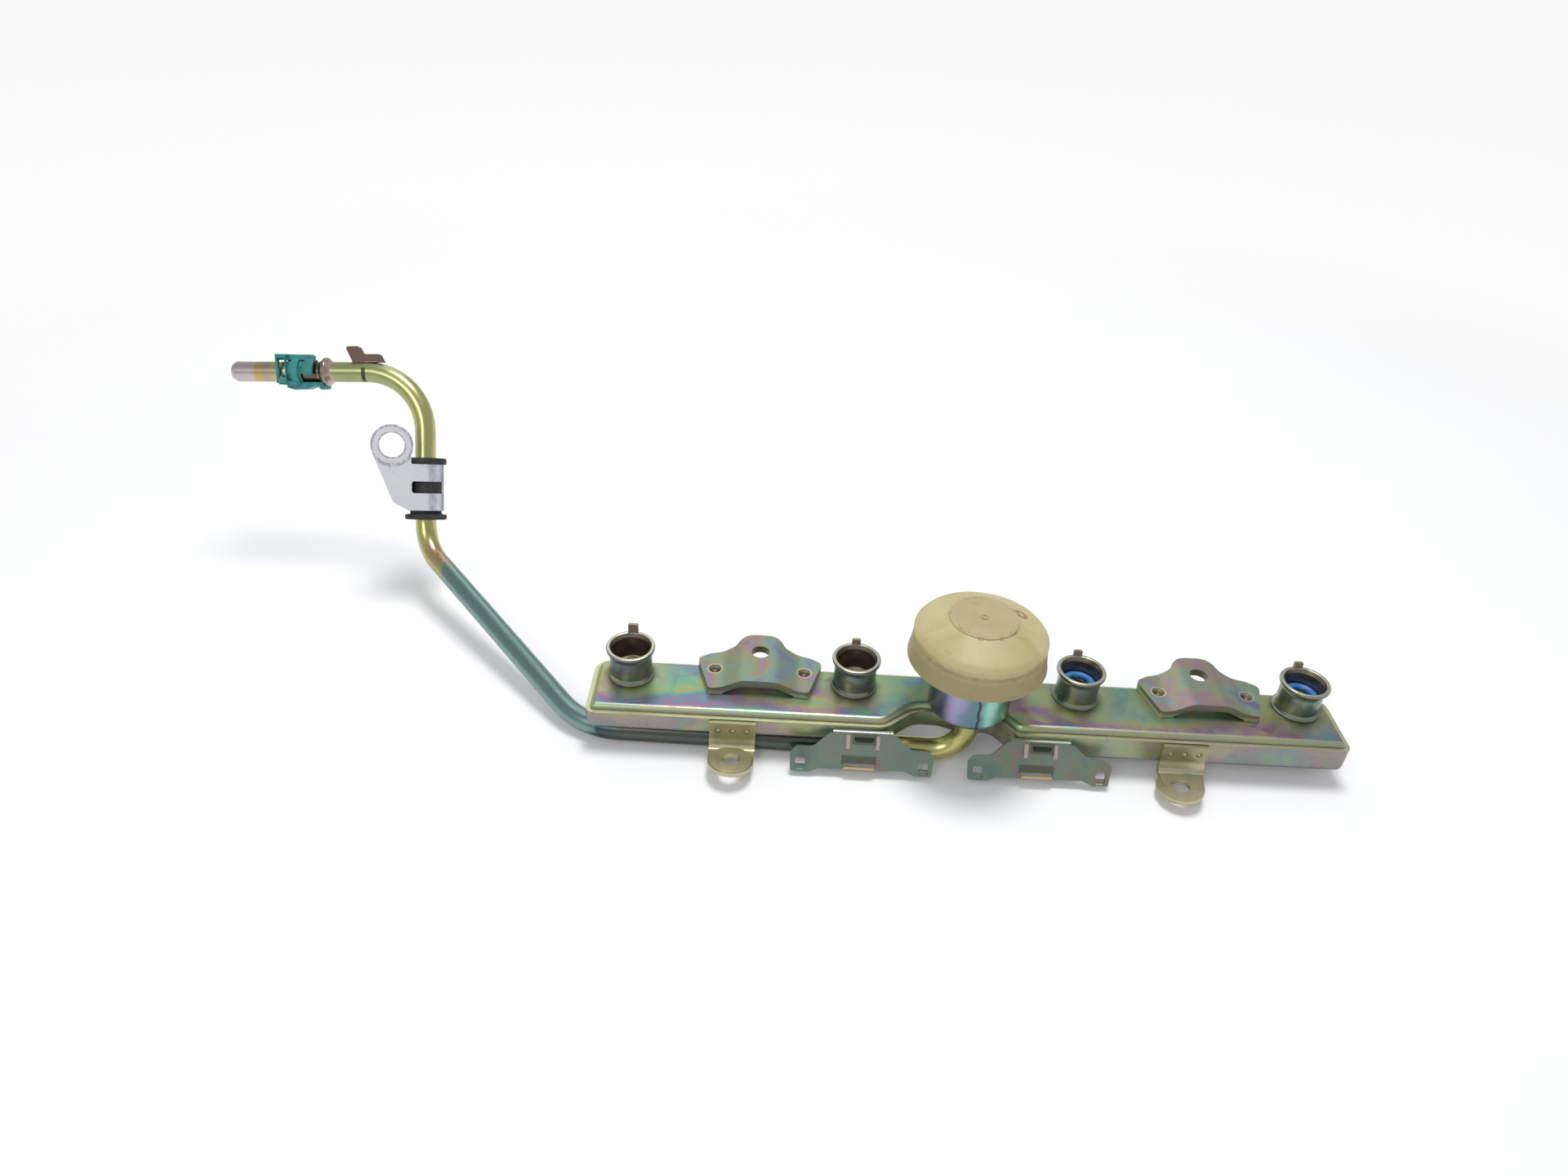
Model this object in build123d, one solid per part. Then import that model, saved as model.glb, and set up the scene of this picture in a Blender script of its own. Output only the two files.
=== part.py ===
from build123d import *
import math, os

# Fuel rail for a four-cylinder engine, lying with its injector cups upward.
# X runs along the rail, Y points away from the side with the harness clips, Z up along the cups.
# While building, x = 0 is midway between the two middle cups, y = 0 is the line of the cups and
# z = 0 is the top plate. At export everything shifts so that the origin is midway between the two
# bolt holes, on the face that meets the engine.
os.makedirs("parts", exist_ok=True)

gap = 0.05                       # clearance left between pieces that are brazed or pushed together

# injector cup
cupPitch = 80.0
cupCount = 4
barrelR, boreR = 7.45, 6.5
lipR, mouthR, cupTop = 8.66, 7.35, 12.3
footR, footH = 8.0, 0.6
spigotR, spigotDepth, fluidR = 4.0, 3.2, 2.6
sealAt, sealThick = 5.6, 2.6
cupCentres = [(i - (cupCount - 1) / 2) * cupPitch for i in range(cupCount)]

# rail: an upper tray turned over into a lower tray
endMargin = 13.8                 # last cup to the rail's end
railLeft, railRight = cupCentres[0] - endMargin, cupCentres[-1] + endMargin
railFront, railBack = -20.0, 8.7
lowerWall, upperWall = 1.5, 1.3
seamZ = -2.1                     # rim of the lower tray
shallowZ, deepZ = -9.6, -12.1    # underside left and right of the damper
skirtDepth = 6.2                 # how far the upper tray reaches down inside the lower one
notchY = -10.5                   # back wall of the notch under the damper

# pressure damper: can, clamped flange, cover and dust cap on one axis
damperX, damperY = 0.1, -8.1
canR, canWall, canShoulderZ = 14.3, 1.2, 19.0
flangeR, flangeZ = 21.8, 23.1    # flangeZ is the top face of the can's flange
diaphragmT, crimpT = 0.5, 0.75
domeR, domeZ, coverT = 9.5, 34.3, 0.9
railPortR, railPortY = 3.0, 5.6  # spigot from the can into the rail, seen from the can's axis
capWall, capTopR, capTopZ = 1.4, 11.9, 39.0
capRimZ, capShoulderZ = 21.9, 30.3
capRimR = flangeR + crimpT + gap + capWall
springWire, springR = 0.7, 4.4

# bolted brackets on the top plate, two cup spacings apart
bracketX = 5.9
bracketT, bridgeRise = 2.8, 2.8
boltR, boltY = 3.3, 8.5
scallopR = 9.0                   # room for the bolt head in the back of both trays
boltCentres = [bracketX - cupPitch, bracketX + cupPitch]

# side tabs and harness clips along the front wall
# middle along the rail, pad radius, pad centre off the strap's middle and in front of the wall,
# tilt, roll, radius of the disc on the pad
sideTabs = {"left": (boltCentres[0] - 8.3, 7.9, 0, -10.2, 11, 0, 7.6),
            "right": (boltCentres[1] - 10.3, 8.1, -2.2, -10.2, 4.5, -4, 0)}
tabWide, tabT = 16.0, 1.5
clipCentres = {"left": cupCentres[1] + 3.0, "right": cupCentres[2] - 15.2}
clipT, clipLean = 0.8, 32.0

# feed tube
tubeR, tubeWall = 4.0, 0.8
tubeZ = shallowZ - tubeR
riserX, riserY = damperX - 0.8, damperY - 9.1
riserTop = 2.6
corner1 = Vector(railLeft - 2.0, -15.0, tubeZ)
corner2 = corner1 + Vector(-76.1, 81.4, 17.9)
corner3 = corner2 + Vector(-2.5, 35.7, 60.0)
endDir = Vector(-0.998, 0.012, -0.061).normalized()
endLength = 77.4                 # last corner to the open end
bends = (12.0, 30.0, 18.0, 23.0)
beadAt, beadR, beadHalf = endLength - 37.9, 5.65, 2.3

toRow = Pos(-bracketX, -boltY, -(bracketT + bridgeRise))


def roundCorners(points):
    """Closed 2D outline from (x, y, corner radius) entries."""
    count = len(points)
    edges, starts, ends = [], [], []
    for i in range(count):
        before, here, after = (Vector(*points[j % count][:2]) for j in (i - 1, i, i + 1))
        radius = points[i][2]
        toBefore, toAfter = (before - here).normalized(), (after - here).normalized()
        half = math.radians(toBefore.get_angle(toAfter)) / 2
        reach = radius / math.tan(half) if radius else 0.0
        starts.append(here + toBefore * reach)
        ends.append(here + toAfter * reach)
        if radius:
            bisector = (toBefore + toAfter).normalized()
            middle = here + bisector * (radius / math.sin(half) - radius)
            edges.append(ThreePointArc(starts[i], middle, ends[i]))
    for i in range(count):
        if (starts[(i + 1) % count] - ends[i]).length > 1e-4:
            edges.append(Line(ends[i], starts[(i + 1) % count]))
    return make_face(edges)


def lathe(points):
    """Solid turned about Z from (r, z, corner radius) entries."""
    return revolve(Plane.XZ * roundCorners(points), Axis.Z)


def railOutline(inset):
    """Plan of the rail, stepped inward by inset, with the damper notch and the bolt-head scallops."""
    outline = roundCorners([
        (railLeft, railFront, 3.5), (damperX - 29.3, railFront, 8), (damperX - 18.4, notchY, 8),
        (damperX + 8.9, notchY, 5), (damperX + 16.4, railFront, 5), (railRight, railFront, 3.0),
        (railRight, railBack, 6), (railLeft, railBack, 6)])
    for x in boltCentres:
        outline -= Pos(x, boltY) * Circle(scallopR)
    corners = [v for v in outline.vertices()
               if abs(v.Y - railBack) < 0.1 and min(abs(v.X - x) for x in boltCentres) < scallopR + 1]
    outline = fillet(corners, 3.0)
    return offset(outline.face(), amount=-inset) if inset else outline


def lowerSolid(inset, topZ):
    """Filled lower tray: its plan cut by the stepped side view."""
    rampX = damperX - 6.1
    side = roundCorners([
        (railLeft - 5, topZ, 0), (railRight + 5, topZ, 0), (railRight + 5, deepZ + inset, 0),
        (rampX + 4, deepZ + inset, 6), (rampX - 4, shallowZ + inset, 6),
        (railLeft - 5, shallowZ + inset, 0)])
    block = extrude(Plane.XZ * side, 60, both=True)
    plan = extrude(Pos(0, 0, -30) * railOutline(inset), 60)
    solid = (plan & block).solid()
    floor = [e for e in solid.edges() if e.bounding_box().max.Z < shallowZ + inset + 0.01]
    rim = [e for e in floor if e.center().Z < topZ - 1 and not isRamp(e)]
    return fillet(rim, max(2.2 - inset, 0.7))


def isRamp(edge):
    """True for the straight cross edges where the floor changes depth."""
    box = edge.bounding_box()
    return box.size.Y > 8 and box.size.X < 1.5 and abs(box.center().X - damperX + 6.1) < 8


def lowerShell():
    outer = lowerSolid(0, seamZ)
    inner = lowerSolid(lowerWall, seamZ + 5)
    return outer - inner


def upperShell():
    inset = lowerWall + gap
    depth = skirtDepth
    outer = extrude(Pos(0, 0, -depth) * railOutline(inset), depth)
    outer = fillet(outer.edges().group_by(Axis.Z)[-1], 2.0)
    inner = extrude(Pos(0, 0, -depth - 1) * railOutline(inset + upperWall), depth + 1 - upperWall)
    inner = fillet(inner.edges().group_by(Axis.Z)[-1], 0.7)
    shell = outer - inner
    for x in cupCentres:
        shell -= Pos(x, 0, -2) * Cylinder(spigotR + gap, 10)
    shell -= Pos(damperX, damperY + railPortY, -2) * Cylinder(railPortR + gap, 10)
    return shell


def injectorCup(tabWidth, tabHeight, lean):
    """Drawn cup with a flared lip, a foot brazed to the plate and a spigot into the rail."""
    cup = lathe([
        (fluidR, -spigotDepth, 0), (spigotR, -spigotDepth, 0.4), (spigotR, gap, 0), (footR, gap, 0.2),
        (footR, footH, 0.3), (barrelR, footH + 1.2, 1.4), (barrelR, cupTop - 2.7, 3.0),
        (lipR, cupTop - 1.1, 0.7), (lipR, cupTop, 0.5), (mouthR, cupTop, 0.4), (boreR, cupTop - 1.7, 1.5),
        (boreR, footH + 2.0, 1.0), (fluidR, footH + 1.0, 0.3)])
    tab = Pos(0, 0, tabHeight / 2) * Box(tabWidth, 1.1, tabHeight)
    tab = fillet(tab.edges().filter_by(Axis.Y).group_by(Axis.Z)[-1], 0.5)
    tab = Pos(0, lipR - 0.7, cupTop - 0.4) * Rot(-lean, 0, 0) * tab
    return cup + tab


def sealRing():
    return Pos(0, 0, sealAt) * Torus(boreR - gap - sealThick / 2, sealThick / 2)


def boltBracket():
    """Bridge-shaped plate: two feet on the top plate, the middle raised over the bolt head."""
    rise, t = bridgeRise, bracketT
    under = [(-24, 0, 0), (-13.6, 0, 9), (-6.4, rise, 9), (6.4, rise, 9), (13.6, 0, 9), (24, 0, 0)]
    over = [(x * 0.985 if abs(x) < 20 else x, z + t, r) for x, z, r in reversed(under)]
    strip = extrude(Plane.XZ * roundCorners(under + over), 30, both=True)
    half = [(6.0, -8.1, 14), (17.6, -9.6, 1.5), (22.6, 7.0, 2.5), (18.2, 9.6, 3), (13.0, 11.2, 4),
            (8.8, 12.8, 3), (7.1, 18.4, 7)]
    plan = roundCorners(half + [(-x, y, r) for x, y, r in reversed(half)])
    plate = strip & extrude(Pos(0, 0, -1) * plan, 12)
    plate -= Pos(0, boltY, 3) * Cylinder(boltR, 12)
    for side in (-1, 1):
        plate -= Pos(side * 16.0, 1.2, t + 0.5) * Sphere(2.3)
    return Pos(0, 0, gap) * plate


def sideTab(padR, padShift, padReach, rise, roll, discR):
    """Strap welded to the front wall, bent forward to a tongue with a round, coined pad."""
    t, front, padY = tabT, railFront - gap, railFront + padReach
    top, crease, bend = seamZ - 0.5, shallowZ + 0.2, -13.2
    slope = math.tan(math.radians(rise))
    near = bend - 0.2
    strap = roundCorners([
        (front, top, 0), (front, crease, 2), (front - 0.9, bend - t, 2.5), (padY, near - t + slope * 8.5, 0),
        (padY, near + slope * 8.5, 0), (front - t - 1.2, bend, 2.0), (front - t, crease + 0.2, 1.5), (front - t, top, 0)])
    tab = extrude(Plane.YZ * strap, tabWide / 2, both=True)
    plan = make_hull((Pos(0, front) * Rectangle(tabWide, 4)).edges() + (Pos(padShift, padY) * Circle(padR)).edges())
    tab &= extrude(Pos(0, 0, -30) * plan, 60)
    for dx in (-5.0, 0.0, 5.0):
        tab -= Pos(dx, front - t, (top + crease) / 2) * Sphere(1.1)
    seat = Pos(padShift, padY, near + slope * 8.5 - t / 2) * Rot(-rise, roll, 0)
    tab += seat * Cylinder(padR, t)
    if discR:
        disc = Pos(0, 0, t / 2) * Cylinder(discR, 1.4)
        tab += seat * chamfer(disc.edges().group_by(Axis.Z)[-1], 0.3)
    return tab - seat * Cylinder(boltR, 12)


clipPlane = Plane(origin=(0, railFront - 1.6, -5.2), x_dir=(1, 0, 0),
                  z_dir=(0, -math.cos(math.radians(clipLean)), math.sin(math.radians(clipLean))))


def harnessClip():
    """Thin clip plate leaning forward, folded at the top to a flange welded on the front wall."""
    t = clipT
    plate = roundCorners([
        (-11.5, 0.9, 1.5), (-17.0, -4.0, 2.5), (-23.0, -4.3, 1.5), (-25.0, -6.4, 1.5), (-24.8, -13.1, 0.8),
        (-18.4, -13.1, 1.2), (-15.0, -11.7, 2.5), (15.0, -11.5, 2.5), (18.4, -13.0, 1.2),
        (24.2, -13.0, 0.8), (25.2, -6.0, 1.5), (23.2, -4.2, 1.5), (17.0, -3.9, 2.5), (11.5, 0.8, 1.5)])
    body = extrude(clipPlane * plate, t)
    slot = Pos(0.5, -0.9) * SlotOverall(6.8, 2.4)
    lance = Pos(-1.1, -10.3) * RectangleRounded(11.2, 1.6, 0.3)
    windows = [Pos(side * 21.4, -10.4) * RectangleRounded(3.4, 4.4, 0.8) for side in (-1, 1)]
    for hole in [slot, lance] + windows:
        body -= extrude(clipPlane * hole, 3, both=True)
    for dx in (-5.1, 5.2):
        body += extrude(clipPlane * Pos(dx, -1.9) * SlotOverall(5.0, 1.5, rotation=90), t + 0.6)
    lip = Pos(-1.1, -10.95, t + 0.55) * Box(10.6, 0.8, 1.5)
    body += clipPlane.location * lip
    for side in (-1, 1):
        hook = Pos(side * 21.4, -11.6, -0.7) * Box(5.0, 1.4, 1.8)
        body += clipPlane.location * hook
    wall = railFront - gap
    fold = roundCorners([(wall, -3.6, 0), (wall, -9.0, 0), (wall - t, -9.0, 0), (wall - t, -4.9, 0.3),
                         (wall - 1.85, -5.7, 0.3), (wall - 2.25, -5.0, 0.3), (wall - 1.35, -3.6, 1.0)])
    return body + extrude(Plane.YZ * fold, 10.5, both=True)


def tubePath():
    """Centre line of the feed tube: straight runs joined by tangent arcs."""
    tip = corner3 + endDir * endLength
    points = [Vector(riserX, riserY, riserTop), Vector(riserX, riserY, tubeZ), corner1,
              corner2, corner3, tip]
    edges, last = [], points[0]
    for i in range(1, len(points) - 1):
        before, after = (points[i - 1] - points[i]).normalized(), (points[i + 1] - points[i]).normalized()
        half = math.radians(before.get_angle(after)) / 2
        radius = bends[i - 1]
        reach = radius / math.tan(half)
        start, end = points[i] + before * reach, points[i] + after * reach
        middle = points[i] + (before + after).normalized() * (radius / math.sin(half) - radius)
        edges += [Line(last, start), ThreePointArc(start, middle, end)]
        last = end
    return Wire(edges + [Line(last, tip)])


def feedTube():
    path = tubePath()
    start = Plane(origin=path @ 0, z_dir=path % 0)
    tube = sweep(start * Circle(tubeR), path=path)
    bead = corner3 + endDir * beadAt
    seat = Plane(origin=bead, z_dir=endDir)
    ring = lathe([(tubeR - 0.3, -beadHalf, 0), (tubeR, -beadHalf, 0), (beadR, -0.5, 0.5), (beadR, 0.5, 0.5),
                  (tubeR, beadHalf, 0), (tubeR - 0.3, beadHalf, 0)])
    tube += seat.location * ring
    tip = Plane(origin=corner3 + endDir * endLength, z_dir=endDir)
    tube -= tip.location * lathe([(tubeR - 1.0, 0.1, 0), (tubeR + 0.5, 0.1, 0), (tubeR + 0.5, -1.6, 0),
                                  (tubeR, -1.6, 0)])
    return tube - sweep(start * Circle(tubeR - tubeWall), path=path)


def damperHousing():
    """Deep lower housing: can on the top plate, widening to the clamped flange."""
    w, low = canWall, flangeZ - canWall
    shell = lathe([
        (0, gap, 0), (canR, gap, 2.2), (canR, canShoulderZ, 2.5), (flangeR - 2.3, low - 0.3, 1.5),
        (flangeR, low, 0), (flangeR, flangeZ, 0), (flangeR - 2.7, flangeZ - 0.3, 2.0),
        (canR - w, canShoulderZ + w, 3.0), (canR - w, gap + w, 1.0), (0, gap + w, 0)])
    shell += Pos(0, railPortY, -1.2) * Cylinder(railPortR, 2.6)
    shell -= Pos(0, railPortY, 0) * Cylinder(railPortR - 0.9, 8)
    shell = Pos(damperX, damperY, 0) * shell
    return shell - Pos(riserX, riserY, 0) * Cylinder(tubeR + gap, 8)


def damperDiaphragm():
    """Fabric and rubber disc clamped at its edge, with one rolled fold."""
    low, t, edge, roll = flangeZ + gap, diaphragmT, flangeR - 0.1, canR
    return Pos(damperX, damperY, 0) * lathe([
        (0, low, 0), (roll - 2.9, low, 0.8), (roll - 1.3, low - 1.15, 0.8), (roll + 1.3, low - 1.15, 0.8),
        (roll + 2.9, low, 0.8), (edge, low, 0), (edge, low + t, 0), (roll + 2.6, low + t, 0.8),
        (roll + 1.0, low + t - 1.15, 0.8), (roll - 1.0, low + t - 1.15, 0.8), (roll - 2.6, low + t, 0.8),
        (0, low + t, 0)])


springFoot = flangeZ + diaphragmT + 2 * gap


def springSeat():
    """Small cup that centres the spring on the diaphragm."""
    low, edge = springFoot, springR + springWire + 1.1
    return Pos(damperX, damperY, 0) * lathe([
        (0, low, 0), (edge, low, 0.4), (edge, low + 1.6, 0.2), (edge - 0.6, low + 1.6, 0.2),
        (edge - 0.6, low + 0.7, 0.3), (0, low + 0.7, 0)])


def damperSpring():
    """Coil spring between its seat and the cover."""
    low, high = springFoot + 0.7 + springWire + gap, domeZ - coverT - springWire - gap
    helix = Helix(pitch=(high - low) / 3.5, height=high - low, radius=springR)
    start = Plane(origin=helix @ 0, z_dir=helix % 0)
    coil = sweep(start * Circle(springWire), path=helix, is_frenet=True)
    return Pos(damperX, damperY, low) * coil


def damperCover():
    """Pressed cover over the spring, its edge turned down round the flange."""
    low, t = flangeZ + diaphragmT + 3 * gap, coverT
    edge = flangeR + gap
    return Pos(damperX, damperY, 0) * lathe([
        (0, domeZ, 0), (domeR, domeZ, 2.0), (domeR + 1, low + t + 0.95, 2.0), (edge - 2.85, low + t + 0.25, 1.0),
        (edge + crimpT - gap, low + t + 0.25, 0.9), (edge + crimpT - gap, flangeZ - canWall - 0.3, 0),
        (edge, flangeZ - canWall - 0.3, 0), (edge, low, 0), (edge - 2.85, low, 0.8),
        (domeR - 0.1, low + 0.85, 1.6), (domeR - t - 0.1, domeZ - t, 1.0), (0, domeZ - t, 0)])


def damperCap():
    """Wide plastic dust cap with a skirt, a groove, a shoulder, a cone and a flat top."""
    w, rim, step, top = capWall, capRimR, capShoulderZ, capTopZ
    cap = lathe([
        (0, top, 0), (capTopR, top, 0.4), (capTopR, top - 0.6, 0), (capTopR + 0.9, top - 0.9, 1.5),
        (rim - 2.6, top - 4.8, 3.5), (rim - 1.2, top - 6.5, 1), (rim - 1.2, step + 0.9, 0.4),
        (rim - 1.8, step, 0.4), (rim - 1.2, step - 1.0, 0.4), (rim - 0.5, capRimZ + 2.2, 2), (rim, capRimZ, 0.3),
        (rim - w, capRimZ, 0), (rim - w, capRimZ + 3.4, 0), (rim - w - 1.6, step, 2),
        (rim - w - 3.0, top - 6.2, 3), (capTopR + 0.7, top - 2.4, 2), (0, top - 1.6, 0)])
    cap += Pos(0, 0, top) * (Cylinder(1.5, 0.5) - Pos(0, 0, 0.3) * Cylinder(0.9, 0.5))
    return Pos(damperX, damperY, 0) * cap


steepDir = (corner3 - corner2).normalized()
clampFront = Vector(0.303, -0.818, 0.489)     # the clamp's plate faces this way
clampAt = 24.0                                # second corner to the middle of the clamp
clampCentre = corner2 + steepDir * clampAt
clampFrame = Plane(origin=clampCentre, x_dir=steepDir.cross(clampFront).normalized(), z_dir=steepDir)
grommetR, strapT, strapHalf = 6.1, 0.8, 9.2


def clampGrommet():
    """Rubber sleeve on the tube, with a round flange at each end of the clamp."""
    low, high = -12.8, 11.8
    sleeve = lathe([
        (tubeR + gap, low, 0.3), (8.05, low, 0.6), (8.05, low + 2.1, 0.6), (grommetR, low + 2.1, 0),
        (grommetR, high - 2.5, 0), (8.05, high - 2.5, 0.6), (8.05, high, 0.8), (tubeR + gap, high, 0.3)])
    return clampFrame.location * sleeve


def pipeClamp():
    """Strap clamp: a sleeve round the rubber, its two ends meeting in one flat plate with the eye."""
    inner, outer = grommetR + gap, grommetR + gap + strapT
    band = Cylinder(outer, 2 * strapHalf)
    eye = Pos(-12.6, 16.4)
    tongue = roundCorners([(-0.5, -strapHalf, 0), (-6.7, -strapHalf, 2), (-12.4, -6.1, 3), (-20.5, 14.6, 0),
                           (-12.6, 16.4, 0), (-5.4, 13.0, 0), (-5.4, strapHalf, 0.4), (-0.5, strapHalf, 0)])
    flat = tongue + eye * Circle(8.0) - eye * Circle(4.8)
    clamp = band + extrude(Plane.XZ.offset(outer - strapT) * flat, strapT)
    clamp -= Cylinder(inner, 60)
    window = Pos(5.2, -8, 0) * Box(21, 16, 4.7)
    clamp -= fillet(window.edges().filter_by(Axis.Y), 1.0)
    return clampFrame.location * clamp


endFront = Vector(0.376, -0.837, 0.397)
endUp = endFront.cross(-endDir).normalized()
endFrame = Plane(origin=corner3, x_dir=endUp, z_dir=endDir)


def connectRetainer():
    """Plastic retainer of the quick connector: an end frame, ribs and legs that reach the bead."""
    hole, at = tubeR + 0.25, beadAt
    body = Pos(0, 0, at + 18.7) * Box(12.0, 11.0, 4.4)
    body = fillet(body.edges().filter_by(Axis.Z), 3.5)
    for rib in (8.5, 14.0):
        body += Pos(0, 0, at + rib) * Cylinder(hole + 1.85, 1.9)
    body += Pos(0, 0, at + 13.0) * Cylinder(hole + 1.05, 14.0)
    for side in (-1, 1):
        leg = Pos(side * 6.1, 0, at + 9.1) * Box(1.8, 5.0, 18.6)
        body += fillet(leg.edges().filter_by(Axis.Y), 0.5)
        body += Pos(side * 5.9, 0, at + 0.8) * Box(2.4, 5.0, 2.0)
    body -= Pos(0, 0, at + 10.5) * Cylinder(hole, 60)
    body -= Pos(0, 0, at) * Cylinder(beadR + 0.15, 3.4)
    slot = Pos(0, 0, at + 18.7) * Box(7.0, 20, 2.2)
    body -= fillet(slot.edges().filter_by(Axis.Y), 1.0)
    return endFrame.location * body


def tubeTab():
    """Small bent steel tab brazed on top of the tube behind the bead."""
    inner, at = tubeR + gap, bends[3] + 4.5
    saddle = Pos(0, 0, at) * (Cylinder(inner + 0.9, 8.4) - Cylinder(inner, 12))
    saddle &= Pos(inner + 0.95, 0, at) * Box(7.0, 14, 12)
    ear = Pos(inner + 2.75, 0, at + 1.9) * Box(4.2, 5.0, 1.1)
    arm = Pos(inner + 1.55, 0, at - 3.0) * Box(1.1, 5.0, 9.5)
    return endFrame.location * (saddle + ear + arm)


pieces = {
    "rail_upper_shell": upperShell(),
    "rail_lower_shell": lowerShell(),
    "damper_housing": damperHousing(),
    "damper_diaphragm": damperDiaphragm(),
    "damper_spring_seat": springSeat(),
    "damper_spring": damperSpring(),
    "damper_cover": damperCover(),
    "damper_cap": damperCap(),
    "feed_tube": feedTube(),
    "clamp_grommet": clampGrommet(),
    "pipe_clamp": pipeClamp(),
    "connector_retainer": connectRetainer(),
    "tube_tab": tubeTab(),
}
tabs = [(3.6, 3.9, 0), (3.1, 2.5, 0), (3.1, 2.5, 12), (3.1, 2.5, 12)]
for i, x in enumerate(cupCentres):
    pieces[f"injector_cup_{i + 1}"] = Pos(x, 0, 0) * injectorCup(*tabs[i])
for i in (2, 3):
    pieces[f"injector_seal_{i + 1}"] = Pos(cupCentres[i], 0, 0) * sealRing()
for side, x in zip(("left", "right"), boltCentres):
    pieces[f"mount_bracket_{side}"] = Pos(x, 0, 0) * boltBracket()
for side, (x, *shape) in sideTabs.items():
    pieces[f"side_tab_{side}"] = Pos(x, 0, 0) * sideTab(*shape)
for side, x in clipCentres.items():
    pieces[f"harness_clip_{side}"] = Pos(x, 0, 0) * harnessClip()

for name, shape in pieces.items():
    export_step(toRow * shape, f"parts/{name}.step")
    print(name, len(shape.solids()), round(shape.volume, 1))
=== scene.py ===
import math
import bmesh
import bpy
from mathutils import Matrix, Vector


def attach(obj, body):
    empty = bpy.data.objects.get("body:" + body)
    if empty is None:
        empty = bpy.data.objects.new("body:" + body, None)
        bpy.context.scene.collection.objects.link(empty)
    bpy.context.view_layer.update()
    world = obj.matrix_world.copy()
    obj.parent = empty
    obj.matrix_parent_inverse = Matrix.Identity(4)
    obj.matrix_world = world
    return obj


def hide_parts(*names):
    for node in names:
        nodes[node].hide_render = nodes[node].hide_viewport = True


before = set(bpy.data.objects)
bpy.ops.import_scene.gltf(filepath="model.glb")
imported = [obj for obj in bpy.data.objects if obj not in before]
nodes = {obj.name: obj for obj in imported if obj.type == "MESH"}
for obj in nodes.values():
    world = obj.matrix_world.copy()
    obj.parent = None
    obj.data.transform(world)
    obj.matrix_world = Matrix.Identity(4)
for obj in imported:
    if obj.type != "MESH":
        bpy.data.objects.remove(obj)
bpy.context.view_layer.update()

mm = 0.001
rowShift = Vector((5.9, 8.5, 5.6))     # the part's origin seen from the middle of the cup line
cupLine = (-120, -40, 40, 120)         # where the cups stand along the rail, in millimetres
boltLine = (-74.1, 85.9)               # and the bolt holes


def railPoint(x, y, z):
    # millimetres from the middle of the cup line to metres in the part's frame
    return (Vector((x, y, z)) - rowShift) * mm


def screen(r, g, b):
    # 0-255 screen colour to linear
    lin = [(c / 255 / 12.92) if c <= 10 else ((c / 255 + 0.055) / 1.055) ** 2.4 for c in (r, g, b)]
    return (*lin, 1.0)


# camera and light

cameraSetup = {
    "place": (-72.155, -303.207, 255.572), "turn": (0.61662, -0.01311, 0.05400),
    "lens": 25.22, "sensor": 36.0, "clip": (0.01, 20.0),
}
lightSetup = {
    "key": {"at": (-0.52, -0.78, 0.78), "aim": (-0.02, 0.0, 0.0), "size": 0.50, "power": 2.2},
    "top": {"at": (0.0, 0.20, 1.05), "aim": (0.0, 0.0, 0.0), "size": 0.4, "power": 6.8},
    "rim": {"at": (-0.30, 0.80, 0.60), "aim": (0.0, 0.0, 0.0), "size": 0.6, "power": 0.8},
}
floorSetup = {
    "drop": 0.0236, "half": 3.0, "rough": 0.7, "tones": ((0.96, 0.96, 0.965, 1.0), (0.98, 0.98, 0.985, 1.0)),
    "near": 0.07, "far": 0.92, "fade": (0.20, 0.75),       # how white it glows, and where that grows
}
worldSetup = {
    "low": (0.56, 0.58, 0.60, 1.0), "high": (0.40, 0.41, 0.43, 1.0), "rise": (-0.1, 0.9), "strength": 1.0,
}
white = (1.0, 1.0, 1.0, 1.0)


def placeCamera():
    rx, ry, rz = cameraSetup["turn"]
    turn = Matrix.Rotation(rz, 3, "Z") @ Matrix.Rotation(ry, 3, "Y") @ Matrix.Rotation(rx, 3, "X")
    look = turn @ Matrix(((1, 0, 0), (0, 0, -1), (0, 1, 0)))
    right, down, ahead = look[0], look[1], look[2]
    pose = Matrix((right, -down, -ahead)).transposed().to_4x4()
    pose.translation = railPoint(*cameraSetup["place"])
    data = bpy.data.cameras.new("photoCamera")
    data.lens, data.sensor_width = cameraSetup["lens"], cameraSetup["sensor"]
    data.clip_start, data.clip_end = cameraSetup["clip"]
    camera = bpy.data.objects.new("photoCamera", data)
    camera.matrix_world = pose
    bpy.context.scene.collection.objects.link(camera)
    bpy.context.scene.camera = camera


def placeLights():
    for name, s in lightSetup.items():
        data = bpy.data.lights.new(name, "AREA")
        data.shape, data.size, data.energy = "DISK", s["size"], s["power"]
        lamp = bpy.data.objects.new(name, data)
        lamp.location = s["at"]
        lamp.rotation_euler = (Vector(s["aim"]) - Vector(s["at"])).to_track_quat("-Z", "Y").to_euler()
        bpy.context.scene.collection.objects.link(lamp)


# shader maths on sockets

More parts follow.
